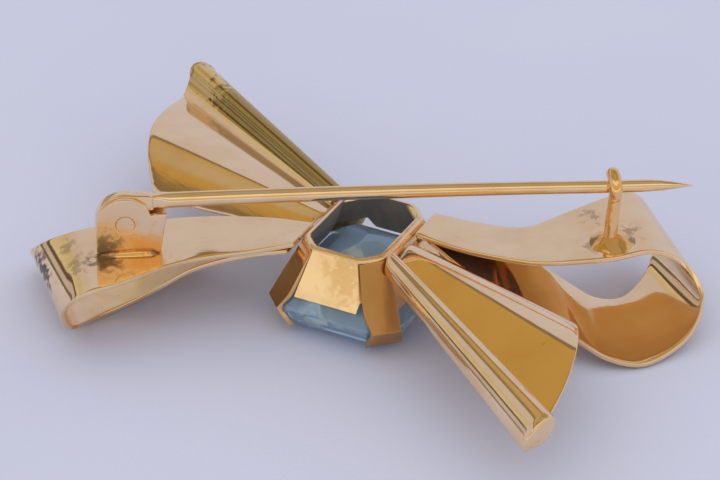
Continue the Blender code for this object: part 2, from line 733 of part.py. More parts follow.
def main():
    for old in list(bpy.data.objects):
        bpy.data.objects.remove(old)
    half_turn = math.pi
    loop_gold = material("loop_gold", PALE_GOLD, 0.12, 1.0)
    right_loop = add_object("right_loop", loop_mesh("right_loop", RIGHT_FRONT_SHIFT), loop_gold)
    left_loop = add_object("left_loop", loop_mesh("left_loop", LEFT_FRONT_SHIFT), loop_gold)
    left_loop.rotation_euler.z = half_turn
    tail_gold = material("tail_gold", GOLD, 0.12, 1.0)
    mesh = tail_mesh(
        "right_tail",
        RIGHT_TAIL_TURN,
        RIGHT_TAIL_SHIFT,
        RIGHT_ROLL_ANGLE,
        RIGHT_ROLL_OVERHANG,
        (RIGHT_ROLL_LENGTH, RIGHT_RIDGE_LENGTH, RIGHT_EDGE_LENGTH),
    )
    add_object("right_tail", mesh, tail_gold)
    mesh = tail_mesh(
        "left_tail",
        LEFT_TAIL_TURN,
        LEFT_TAIL_SHIFT,
        LEFT_ROLL_ANGLE,
        LEFT_ROLL_OVERHANG,
        (LEFT_ROLL_LENGTH, LEFT_RIDGE_LENGTH, LEFT_EDGE_LENGTH),
    )
    left_tail = add_object("left_tail", mesh, tail_gold)
    left_tail.rotation_euler.z = half_turn
    make_collet(material("collet_gold", DEEP_GOLD, 0.2, 1.0))
    claw_gold = material("claw_gold", DEEP_GOLD, 0.2, 1.0)
    for corner in range(4):
        make_claw(corner, claw_gold)
    make_stone(material("blue_stone", STONE_BLUE, 0.02, 0.0))
    left_top = loop_tree(left_loop.data, half_turn)
    cheek_gold = material("cheek_gold", PALE_GOLD, 0.15, 1.0)
    make_cheek("hinge_front_cheek", -1, FRONT_CHEEK_RADIUS, left_top, cheek_gold)
    make_cheek("hinge_rear_cheek", 1, REAR_CHEEK_RADIUS, left_top, cheek_gold)
    make_rivet(material("rivet_gold", PALE_GOLD, 0.2, 1.0))
    make_pin(material("pin_gold", GOLD, 0.1, 1.0))
    make_catch(loop_tree(right_loop.data, 0), material("catch_gold", DEEP_GOLD, 0.12, 1.0))


main()
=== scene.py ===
"""Looks of a gold ribbon-bow brooch that lies face down: ribbon, claw setting, stone, pin and catch."""

import math

import bmesh
import bpy
from bpy.props import FloatProperty, FloatVectorProperty, IntProperty, PointerProperty
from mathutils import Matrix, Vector, noise
from mathutils.bvhtree import BVHTree


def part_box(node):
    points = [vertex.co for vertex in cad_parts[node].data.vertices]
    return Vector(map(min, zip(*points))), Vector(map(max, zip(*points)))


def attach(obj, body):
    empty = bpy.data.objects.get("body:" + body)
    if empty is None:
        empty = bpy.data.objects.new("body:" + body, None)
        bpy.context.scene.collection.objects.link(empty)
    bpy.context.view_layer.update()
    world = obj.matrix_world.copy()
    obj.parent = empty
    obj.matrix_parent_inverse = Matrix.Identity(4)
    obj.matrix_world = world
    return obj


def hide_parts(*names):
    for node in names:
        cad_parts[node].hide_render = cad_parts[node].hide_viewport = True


bl_info = {
    "name": "Ribbon bow brooch",
    "version": (1, 0, 0),
    "blender": (4, 5, 0),
    "location": "View3D > Sidebar > Brooch",
    "description": "Dresses the brooch's solids in polished gold and sets the studio round them",
    "category": "Object",
}

MM = 0.001
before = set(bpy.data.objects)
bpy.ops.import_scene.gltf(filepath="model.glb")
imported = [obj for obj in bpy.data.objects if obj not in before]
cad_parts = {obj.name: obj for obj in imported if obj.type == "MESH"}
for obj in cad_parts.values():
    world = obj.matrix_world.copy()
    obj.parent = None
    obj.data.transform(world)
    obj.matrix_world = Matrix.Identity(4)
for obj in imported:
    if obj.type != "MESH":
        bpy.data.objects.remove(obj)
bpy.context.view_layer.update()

# What polished gold sees round the brooch: colours by degrees above the horizon.
FAR_WALL = (
    (0, (0.6, 0.62, 0.76)),
    (22, (0.6, 0.61, 0.73)),
    (39.4, (0.6, 0.59, 0.68)),
    (40.6, (0.2, 0.16, 0.09)),
    (42.4, (0.2, 0.15, 0.07)),
    (43.6, (0.5, 0.33, 0.08)),
    (52, (0.48, 0.32, 0.08)),
    (55, (0.2, 0.14, 0.06)),
    (58, (0.5, 0.42, 0.26)),
    (63, (0.24, 0.19, 0.11)),
    (69, (0.45, 0.38, 0.27)),
    (90, (0.42, 0.36, 0.28)),
)
LEFT_WALL = (
    (0, (0.22, 0.17, 0.12)),
    (0.5, (0.17, 0.13, 0.1)),
    (4.2, (0.17, 0.13, 0.1)),
    (5.4, (0.5, 0.49, 0.52)),
    (12.2, (0.5, 0.48, 0.5)),
    (12.9, (0.1, 0.07, 0.04)),
    (16.6, (0.1, 0.07, 0.04)),
    (17.6, (0.64, 0.6, 0.44)),
    (26, (0.56, 0.52, 0.36)),
    (28, (0.58, 0.56, 0.6)),
    (38, (0.58, 0.56, 0.62)),
    (40, (0.24, 0.19, 0.1)),
    (42, (0.24, 0.19, 0.1)),
    (44, (0.5, 0.37, 0.14)),
    (52, (0.5, 0.42, 0.27)),
    (60, (0.42, 0.34, 0.2)),
    (90, (0.42, 0.36, 0.28)),
)
NEAR_WALL = (
    (0, (0.97, 0.9, 0.72)),
    (7, (0.95, 0.86, 0.66)),
    (12, (0.58, 0.5, 0.34)),
    (32, (0.62, 0.54, 0.38)),
    (40, (0.96, 0.91, 0.76)),
    (57, (0.94, 0.88, 0.7)),
    (62, (0.4, 0.35, 0.16)),
    (68, (0.4, 0.35, 0.17)),
    (90, (0.42, 0.36, 0.28)),
)
ZENITH = 90

# Edges that bend by more degrees than this are rounded, or else drawn sharp.
SHEET_CORNER = 55
PLATE_CORNER = 30
COLLET_CORNER = 25
FACET_CORNER = 3
CREASE = 40
NO_CREASE = 180

# Fineness of the rubbing marks along X, Y and Z, in marks per metre.
LONG_GRAIN = (150, 2600, 2600)
WIRE_GRAIN = (120, 3000, 3000)
COLLET_GRAIN = (2600, 2600, 420)
CHEEK_GRAIN = (1500, 1500, 500)
EVEN_GRAIN = (400, 400, 400)
WAVES = (60, 420, 420)

# How far the metal and the stone differ from a plain finish.
CLOUD_TINT = (0.94, 0.89, 0.8)
SPECKS = 0.4
SPOT_ROUGHNESS = 0.16
FILM_ROUGHNESS = 0.3
FILM_STRETCH = (1, 1, 0.35)
METALNESS = 0.96
MARK_DEPTH = 0.02 * MM
DENT_DEPTH = 0.12 * MM
STONE_CLEARNESS = 0.74
STONE_IOR = 1.57


class GoldSettings(bpy.types.PropertyGroup):
    """Colours and finish of the gold."""

    ribbon: FloatVectorProperty(
        name="Ribbon",
        description="Gold of the loops and tails",
        subtype="COLOR",
        size=3,
        min=0,
        max=1,
        default=(0.94, 0.7, 0.44),
    )
    deep: FloatVectorProperty(
        name="Deep",
        description="Redder gold of the collet, the claws and the hook",
        subtype="COLOR",
        size=3,
        min=0,
        max=1,
        default=(0.94, 0.6, 0.26),
    )
    # Patina is also the colour of painted dark reflections: one on the left bend and one beside the hook's
    # foot.
    patina_and_painted_dark: FloatVectorProperty(
        name="Patina",
        description="Dark stain in corners and in specks",
        subtype="COLOR",
        size=3,
        min=0,
        max=1,
        default=(0.2, 0.14, 0.1),
    )
    solder: FloatVectorProperty(
        name="Solder",
        description="Orange tint where pieces are soldered",
        subtype="COLOR",
        size=3,
        min=0,
        max=1,
        default=(0.92, 0.56, 0.22),
    )
    film: FloatVectorProperty(
        name="Film",
        description="Grey film inside the collet",
        subtype="COLOR",
        size=3,
        min=0,
        max=1,
        default=(0.5, 0.43, 0.41),
    )
    polish: FloatProperty(
        name="Polish",
        description="Roughness of the polished ribbon",
        subtype="FACTOR",
        min=0,
        max=1,
        default=0.055,
    )


class StoneSettings(bpy.types.PropertyGroup):
    """Colour and facet edges of the stone."""

    colour: FloatVectorProperty(
        name="Colour",
        description="Body colour of the stone",
        subtype="COLOR",
        size=3,
        min=0,
        max=1,
        default=(0.52, 0.74, 0.96),
    )
    facet_edge: FloatProperty(
        name="Facet edge",
        description="Width of the worn line between facets",
        unit="LENGTH",
        min=0,
        default=0.05 * MM,
    )


class ShapeSettings(bpy.types.PropertyGroup):
    """Sizes that the fine shapes add to the solids."""

    sheet_edge: FloatProperty(
        name="Sheet edge",
        description="Rounding of the ribbon's cut edges",
        unit="LENGTH",
        min=0,
        default=0.11 * MM,
    )
    plate_edge: FloatProperty(
        name="Plate edge",
        description="Rounding of the collet's, the hinge's and the rivet's edges",
        unit="LENGTH",
        min=0,
        default=0.09 * MM,
    )
    rim_edge: FloatProperty(
        name="Rim edge",
        description="Rounding of the collet's outer rim",
        unit="LENGTH",
        min=0.01 * MM,
        default=0.24 * MM,
    )
    hinge_bead: FloatVectorProperty(
        name="Hinge bead",
        description="Size of the solder along the front cheek's foot",
        unit="LENGTH",
        subtype="XYZ",
        size=3,
        default=(4.9 * MM, 0.6 * MM, 0.36 * MM),
    )
    catch_heap: FloatVectorProperty(
        name="Catch heap",
        description="Size of the solder round the hook's foot",
        unit="LENGTH",
        subtype="XYZ",
        size=3,
        default=(4.0 * MM, 3.8 * MM, 0.9 * MM),
    )
    wire_start: FloatProperty(
        name="Wire start",
        description="Where the pin's wire leaves its flat tang, along X",
        unit="LENGTH",
        default=-17.45 * MM,
    )
    smoothing: IntProperty(
        name="Smoothing",
        description="Levels of subdivision on bent sheet and wire",
        min=0,
        max=3,
        default=2,
    )


class StageSettings(bpy.types.PropertyGroup):
    """Floor, light and camera."""

    floor: FloatVectorProperty(
        name="Floor",
        description="Colour of the pale floor",
        subtype="COLOR",
        size=3,
        min=0,
        max=1,
        default=(0.6, 0.615, 0.76),
    )
    azimuth: FloatProperty(
        name="Azimuth",
        description="Way the camera faces round the object",
        subtype="ANGLE",
        default=math.radians(-3.4),
    )
    elevation: FloatProperty(
        name="Elevation",
        description="Height of the camera above the horizon",
        subtype="ANGLE",
        default=math.radians(32.5),
    )
    distance: FloatProperty(
        name="Distance",
        description="From the camera to the setting",
        unit="LENGTH",
        min=0.1,
        default=0.3,
    )
    lens: FloatProperty(
        name="Lens",
        description="Focal length on a 36 mm sensor",
        unit="CAMERA",
        min=10,
        default=183,
    )


def settings():
    """The gold's and the shapes' settings."""
    return bpy.context.scene.brooch_gold, bpy.context.scene.brooch_shape


def solid_copy(node):
    """A copy of a node's triangles, joined at their corners."""
    solid = bmesh.new()
    solid.from_mesh(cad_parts[node].data)
    bmesh.ops.remove_doubles(solid, verts=solid.verts[:], dist=1e-6)
    return solid


def sharp_edges(solid, degrees):
    """The edges that bend by more than this."""
    limit = math.radians(degrees)
    return [edge for edge in solid.edges if len(edge.link_faces) == 2 and edge.calc_face_angle() > limit]


def round_edges(solid, degrees, width, segments=2):
    """Rounds the edges that are sharper than this."""
    bmesh.ops.bevel(
        solid,
        geom=sharp_edges(solid, degrees),
        offset=width,
        offset_type="OFFSET",
        affect="EDGES",
        segments=segments,
        profile=0.5,
        material=-1,
        clamp_overlap=True,
    )


def shade(solid, degrees):
    """Smooth faces, with a sharp line where the bend is over this."""
    limit = math.radians(degrees)
    for face in solid.faces:
        face.smooth = True
    for edge in solid.edges:
        edge.smooth = len(edge.link_faces) == 2 and edge.calc_face_angle() < limit


def piece(name, solid, materials, body, slot, *nodes):
    """Makes a piece from its bmesh; it rides on a body and stands for these nodes."""
    mesh = bpy.data.meshes.new(name)
    solid.to_mesh(mesh)
    solid.free()
    made = bpy.data.objects.new(name, mesh)
    bpy.context.scene.collection.objects.link(made)
    for one in materials:
        mesh.materials.append(one)
    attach(made, body)
    if nodes:
        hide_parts(*nodes)
    return made


def subdivide(made, levels):
    """Smooths the bends of sheet and wire."""
    smooth = made.modifiers.new("Smooth bends", "SUBSURF")
    smooth.levels = levels
    smooth.render_levels = levels


def keep_flat(made):
    """Keeps a plate's wide faces flat up to their rounded edges."""
    weighted = made.modifiers.new("Flat faces", "WEIGHTED_NORMAL")
    weighted.keep_sharp = True


def quads(solid):
    """Joins the two triangles of each square of a bent sheet or a tube."""
    bmesh.ops.join_triangles(
        solid,
        faces=[face for face in solid.faces if len(face.verts) == 3],
        angle_face_threshold=math.radians(40),
        angle_shape_threshold=math.radians(75),
    )


def flats(solid):
    """Joins the triangles of each flat face."""
    bmesh.ops.dissolve_limit(
        solid,
        angle_limit=math.radians(0.6),
        verts=solid.verts[:],
        edges=solid.edges[:],
        use_dissolve_boundaries=False,
    )


class Nodes:
    """A node tree, built one link at a time."""

    def __init__(self, tree):
        self.tree = tree

    def node(self, kind, inputs=(), **values):
        made = self.tree.nodes.new(kind)
        for key, value in values.items():
            setattr(made, key, value)
        for key, value in dict(inputs).items():
            self.put(made.inputs[key], value)
        return made

    def put(self, socket, value):
        if isinstance(value, bpy.types.NodeSocket):
            self.tree.links.new(value, socket)
        else:
            socket.default_value = value

    def ramp(self, value, low, high, to_low=0.0, to_high=1.0):
        inputs = {"Value": value, "From Min": low, "From Max": high, "To Min": to_low, "To Max": to_high}
        return self.node("ShaderNodeMapRange", inputs, interpolation_type="SMOOTHSTEP").outputs["Result"]

    def math(self, operation, first, second=0.0):
        return self.node("ShaderNodeMath", {0: first, 1: second}, operation=operation).outputs[0]

    def vector(self, operation, first, second=(0, 0, 0)):
        return self.node("ShaderNodeVectorMath", {0: first, 1: second}, operation=operation)

    def mix(self, share, first, second):
        made = self.node("ShaderNodeMix", data_type="RGBA")
        self.put(made.inputs["Factor"], share)
        self.put(made.inputs["A"], first if isinstance(first, bpy.types.NodeSocket) else (*first, 1))
        self.put(made.inputs["B"], second if isinstance(second, bpy.types.NodeSocket) else (*second, 1))
        return made.outputs["Result"]

    def bands(self, value, stops, top):
        """Colours along a value that runs from 0 to the top."""
        made = self.node("ShaderNodeValToRGB", {"Fac": self.math("DIVIDE", value, top)})
        ramp = made.color_ramp
        while len(ramp.elements) < len(stops):
            ramp.elements.new(0.5)
        for element, (place, colour) in zip(ramp.elements, stops):
            element.position = place / top
            element.color = (*colour, 1)
        return made.outputs["Color"]


class Finish(Nodes):
    """A piece's material."""

    ragged = 0.7
    border = 1500.0

    def __init__(self, name):
        self.material = bpy.data.materials.new(name)
        self.material.use_nodes = True
        super().__init__(self.material.node_tree)
        self.shader = self.tree.nodes["Principled BSDF"]
        self.place = self.node("ShaderNodeTexCoord").outputs["Object"]

    def cloud(self, scale, detail=3.0, roughness=0.55, stretch=None, turn=0.0):
        """Noise over the piece; stretch draws it out along X, Y and Z after a turn round Z."""
        place = self.place
        if stretch:
            spun = self.node("ShaderNodeMapping", {"Vector": place, "Rotation": (0, 0, turn)})
            place = self.node("ShaderNodeMapping", {"Vector": spun.outputs[0], "Scale": stretch}).outputs[0]
        inputs = {"Vector": place, "Scale": scale, "Detail": detail, "Roughness": roughness}
        return self.node("ShaderNodeTexNoise", inputs).outputs["Fac"]

    def near(self, point, radius, squash):
        """1 close to a point and 0 beyond the radius, with a ragged border."""
        away = self.vector("MULTIPLY", self.vector("SUBTRACT", self.place, point).outputs[0], squash)
        length = self.vector("LENGTH", away.outputs[0]).outputs["Value"]
        edge = self.cloud(self.border, detail=4.0)
        wander = self.ramp(edge, 0.3, 0.7, to_low=1 - self.ragged, to_high=1 + self.ragged)
        share = self.math("DIVIDE", length, self.math("MULTIPLY", wander, radius))
        return self.ramp(share, low=1.0, high=0.35)

    def bump(self, height, strength, distance):
        inputs = {"Height": height, "Strength": strength, "Distance": distance}
        return self.node("ShaderNodeBump", inputs)


def tinted(colour, shares):
    """A colour with its red, green and blue multiplied by these shares."""
    return tuple(c * k for c, k in zip(colour, shares))


def mm(x, y, z):
    """A step in millimetres."""
    return Vector((x, y, z)) * MM


def gold_finish(
    name,
    colour,
    roughness,
    spots=(),
    squash=(1, 1, 1),
    grain=EVEN_GRAIN,
    turn=0.0,
    film=0.0,
    dent=0.0,
    wave=0.0,
    rub=0.12,
):
    """Worn gold: cloudy tone, rubbing marks, specks, and ragged spots as (point, radius, tint, amount)."""
    gold, _ = settings()
    look = Finish(name)
    cloud = look.cloud(scale=260.0)
    tone = look.mix(look.ramp(cloud, 0.35, 0.75), colour, tinted(colour, CLOUD_TINT))
    grit = look.ramp(look.cloud(scale=3100.0, detail=2.0), 0.7, 0.76)
    speck = look.math("MULTIPLY", grit, look.ramp(cloud, 0.45, 0.6))
    tone = look.mix(look.math("MULTIPLY", speck, SPECKS), tone, gold.patina_and_painted_dark)
    rough = look.ramp(cloud, 0.3, 0.8, to_low=roughness * 0.75, to_high=roughness * 1.5)
    for point, radius, tint, amount in spots:
        share = look.math("MULTIPLY", look.near(point, radius, squash), amount)
        tone = look.mix(share, tone, tint)
        rough = look.math("ADD", rough, look.math("MULTIPLY", share, SPOT_ROUGHNESS))
    if film:
        haze = look.cloud(scale=520.0, detail=5.0, roughness=0.6, stretch=FILM_STRETCH)
        share = look.ramp(haze, 0.3, 0.65, to_low=film * 0.6, to_high=film)
        tone = look.mix(share, tone, gold.film)
        rough = look.math("ADD", rough, look.math("MULTIPLY", share, FILM_ROUGHNESS))
    look.put(look.shader.inputs["Base Color"], tone)
    look.put(look.shader.inputs["Roughness"], rough)
    look.shader.inputs["Metallic"].default_value = METALNESS
    marks = look.cloud(scale=1.0, roughness=0.6, stretch=grain, turn=turn)
    bump = look.bump(marks, rub, MARK_DEPTH)
    if dent or wave:
        if wave:
            slow = look.cloud(scale=1.0, detail=1.0, roughness=0.4, stretch=WAVES, turn=turn)
        else:
            slow = look.cloud(scale=700.0, detail=2.0)
        uneven = look.bump(slow, max(dent, wave), DENT_DEPTH)
        look.put(bump.inputs["Normal"], uneven.outputs["Normal"])
    look.put(look.shader.inputs["Normal"], bump.outputs["Normal"])
    return look.material


def stone_finish():
    """Clear stone, with slightly paler clouds and a faint wear on its polish."""
    stone = bpy.context.scene.brooch_stone
    look = Finish("stone_blue")
    pale = tuple(min(1, c * 1.12 + 0.04) for c in stone.colour)
    cloud = look.ramp(look.cloud(scale=180.0, detail=2.0), 0.35, 0.7)
    look.put(look.shader.inputs["Base Color"], look.mix(cloud, stone.colour, pale))
    wear = look.ramp(look.cloud(scale=900.0), 0.4, 0.8, to_low=0.0, to_high=0.04)
    look.put(look.shader.inputs["Roughness"], wear)
    look.shader.inputs["Transmission Weight"].default_value = STONE_CLEARNESS
    look.shader.inputs["IOR"].default_value = STONE_IOR
    return look.material


def loft(solid, rows):
    """Joins closed rows of points into a tube with flat ends, and returns its rings of corners."""
    rings = [bmesh.ops.create_circle(solid, segments=len(rows[0]), radius=1)["verts"]]
    for row in rows:
        if row is not rows[0]:
            rings.append(next_ring(solid, rings[-1]))
        for vert, spot in zip(rings[-1], row):
            vert.co = spot
    for end in (rings[0], rings[-1]):
        bmesh.ops.contextual_create(solid, geom=end)
    return rings


def next_ring(solid, ring):
    """Extrudes a ring and returns the new corners in the same order."""
    edges = [edge for edge in solid.edges if edge.verts[0] in ring and edge.verts[1] in ring]
    grown = bmesh.ops.extrude_edge_only(solid, edges=edges)["geom"]
    fresh = {vert for vert in grown if isinstance(vert, bmesh.types.BMVert)}
    made = []
    for vert in ring:
        others = [edge.other_vert(vert) for edge in vert.link_edges]
        made.append(next(other for other in others if other in fresh))
    return made


def centre_of(node):
    """The middle of a node's box."""
    low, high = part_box(node)
    return (Vector(low) + Vector(high)) / 2


def foot_of(node):
    """The middle of the underside of a node's box."""
    foot = centre_of(node)
    foot.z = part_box(node)[0][2]
    return foot


def tree_of(node):
    """A node's surface, to cast rays on."""
    solid = solid_copy(node)
    tree = BVHTree.FromBMesh(solid)
    solid.free()
    return tree


class BROOCH_OT_loops(bpy.types.Operator):
    """The two ribbon loops, with rounded edges and smooth bends."""

    bl_idname = "brooch.loops"
    bl_label = "Loops"

    squash = (1, 1, 4)
    slant = 0.3

    def execute(self, context):
        gold, shape = settings()
        spots = self.spots(gold)
        marks = {"squash": self.squash, "grain": LONG_GRAIN}
        shaded = tinted(gold.deep, (0.9, 0.78, 0.45))
        inside = gold_finish("loop_inside_gold", shaded, roughness=0.09, wave=0.03, **marks)
        rust = spots["left_loop"][-1:]
        satin = gold_finish("loop_satin_gold", gold.ribbon, roughness=0.3, spots=rust, **marks)
        for node in ("left_loop", "right_loop"):
            solid = solid_copy(node)
            quads(solid)
            self.sides(solid, node)
            round_edges(solid, SHEET_CORNER, shape.sheet_edge)
            shade(solid, NO_CREASE)
            outside = gold_finish(node + "_gold", gold.ribbon, gold.polish, spots[node], wave=0.03, **marks)
            made = piece(node + "_sheet", solid, [outside, inside, satin], "bow", "gold", node)
            subdivide(made, shape.smoothing)
        return {"FINISHED"}

    def spots(self, gold):
        """Solder and stains round the hinge's and the hook's feet, and a painted reflection of the hook and
        pin beside the hook's foot; a painted dark reflection and rust on the left bend.
        """
        hinge = foot_of("hinge_front_cheek")
        hook = foot_of("catch_hook")
        rust = tinted(gold.solder, (0.55, 0.4, 0.4))
        # Darker patina for the painted dark reflection on the outside of the left bend.
        painted_dark_reflection = tinted(gold.patina_and_painted_dark, (0.45, 0.45, 0.45))
        return {
            "left_loop": (
                (hinge + mm(0.5, -1.5, 0), 2.7 * MM, gold.solder, 0.8),
                (hinge + mm(-2.4, -1.3, 0), 1.5 * MM, gold.patina_and_painted_dark, 0.75),
                (hinge + mm(-4.6, -1.4, -0.2), 1.5 * MM, gold.patina_and_painted_dark, 0.45),
                (hinge + mm(-5.4, 1.6, -0.4), 1.3 * MM, gold.patina_and_painted_dark, 0.45),
                # Painted dark reflection on the left bend's outside.
                (mm(-26.5, 0.7, 4.05), 3.4 * MM, painted_dark_reflection, 1.0),
                (mm(-23.4, -6.0, 0.5), 1.3 * MM, rust, 0.9),
            ),
            "right_loop": (
                (hook + mm(0.4, 0.2, 0), 2.6 * MM, gold.solder, 0.6),
                (hook + mm(1.6, 0.9, 0), 1.2 * MM, gold.patina_and_painted_dark, 0.45),
                # Painted reflection of the hook and the pin on the strip, behind and to the left of the
                # hook's foot.
                (hook + mm(-0.9, 3.6, 0), 1.2 * MM, gold.patina_and_painted_dark, 0.45),
                (hook + mm(-1.5, -1.1, 0), 1.0 * MM, gold.patina_and_painted_dark, 0.4),
            ),
        }

    def sides(self, solid, node):
        """Shaded gold on the loop's inner undersides, and satin inside the left loop's front."""
        middle = centre_of(node)
        for face in solid.faces:
            inner = face.normal.dot(middle - face.calc_center_median()) > 0
            face.material_index = 0
            if inner and face.normal.z < -self.slant:
                face.material_index = 1
            if inner and face.normal.z > self.slant and node == "left_loop":
                face.material_index = 2


class BROOCH_OT_tails(bpy.types.Operator):
    """The two rolled ribbon tails."""

    bl_idname = "brooch.tails"
    bl_label = "Tails"

    thinner = 0.8

    def execute(self, context):
        gold, shape = settings()
        for node, roll in (("left_tail", LEFT_ROLL), ("right_tail", RIGHT_ROLL)):
            solid = solid_copy(node)
            quads(solid)
            round_edges(solid, SHEET_CORNER, shape.sheet_edge * self.thinner)
            shade(solid, NO_CREASE)
            marks = {"grain": LONG_GRAIN, "turn": -roll.turn}
            finish = gold_finish(node + "_gold", gold.ribbon, gold.polish, wave=0.1, **marks)
            made = piece(node + "_sheet", solid, [finish], "bow", "gold", node)
            subdivide(made, shape.smoothing)
        return {"FINISHED"}


class Roll:
    """A tail's rolled side: its line from the tail's apex, and its leaning oval section."""

    ridge = math.radians(7.7)
    tilt = math.radians(9.6)
    lean = math.radians(47)
    end_depth = 1.45
    end_thickness = 0.75
    root_size = Vector((0.5, 0.3)) * MM
    end_size = Vector((end_depth, end_thickness)) * MM
    first = math.pi + math.atan(end_thickness / end_depth / math.tan(lean - tilt))
    root_tip = Vector((-0.88, 0.64)) * MM
    end_tip = Vector((-1.99, 1.93)) * MM

    def __init__(self, apex, turn, angle, root, length, overhang, facing):
        self.apex = Vector(apex) * MM
        self.turn = turn
        self.along = Vector((math.cos(turn), math.sin(turn), 0))
        self.across = Vector((self.along.y, -self.along.x, 0))
        self.angle = angle
        self.root = root * MM
        self.length = length * MM
        self.overhang = overhang * MM
        self.facing = Vector((facing, facing, 1))

    def place(self, reach, side, height):
        """A point of the section at this reach, in the world."""
        side += math.tan(self.angle) * reach
        height -= (math.tan(self.ridge) + math.tan(self.angle)) * math.tan(self.tilt) * reach
        return (self.apex + self.along * reach + self.across * side + Vector((0, 0, height))) * self.facing

    def panel(self, side):
        """A point of the tail's flat panel in the section."""
        return Vector((side, -side * math.tan(self.tilt)))

    def grown(self, reach):
        return (reach - self.root) / (self.length - self.root)

    def tip(self, reach):
        """The sheet's last edge in the section."""
        return self.root_tip.lerp(self.end_tip, self.grown(reach))

    def round(self, reach, turn, growth):
        """A point of the roll's oval, so far outside it."""
        depth, thickness = self.root_size.lerp(self.end_size, self.grown(reach))
        over = Vector((-math.cos(self.lean), math.sin(self.lean)))
        out = Vector((math.sin(self.lean), math.cos(self.lean)))
        centre = -over * depth * math.cos(self.first) - out * thickness * math.sin(self.first)
        spot = over * depth * math.cos(turn) + out * thickness * math.sin(turn)
        normal = over * math.cos(turn) / depth + out * math.sin(turn) / thickness
        return centre + spot + normal.normalized() * growth


RIGHT_ROLL = Roll(
    apex=(-1.97, 3.92, 7.45),
    turn=math.radians(-54),
    angle=math.radians(13.9),
    root=8.0,
    length=33.3,
    overhang=0.8,
    facing=1,
)
LEFT_ROLL = Roll(
    apex=(-2.758, 3.304, 7.45),
    turn=math.radians(-52),
    angle=math.radians(12.5),
    root=8.3,
    length=33.8,
    overhang=0.1,
    facing=-1,
)


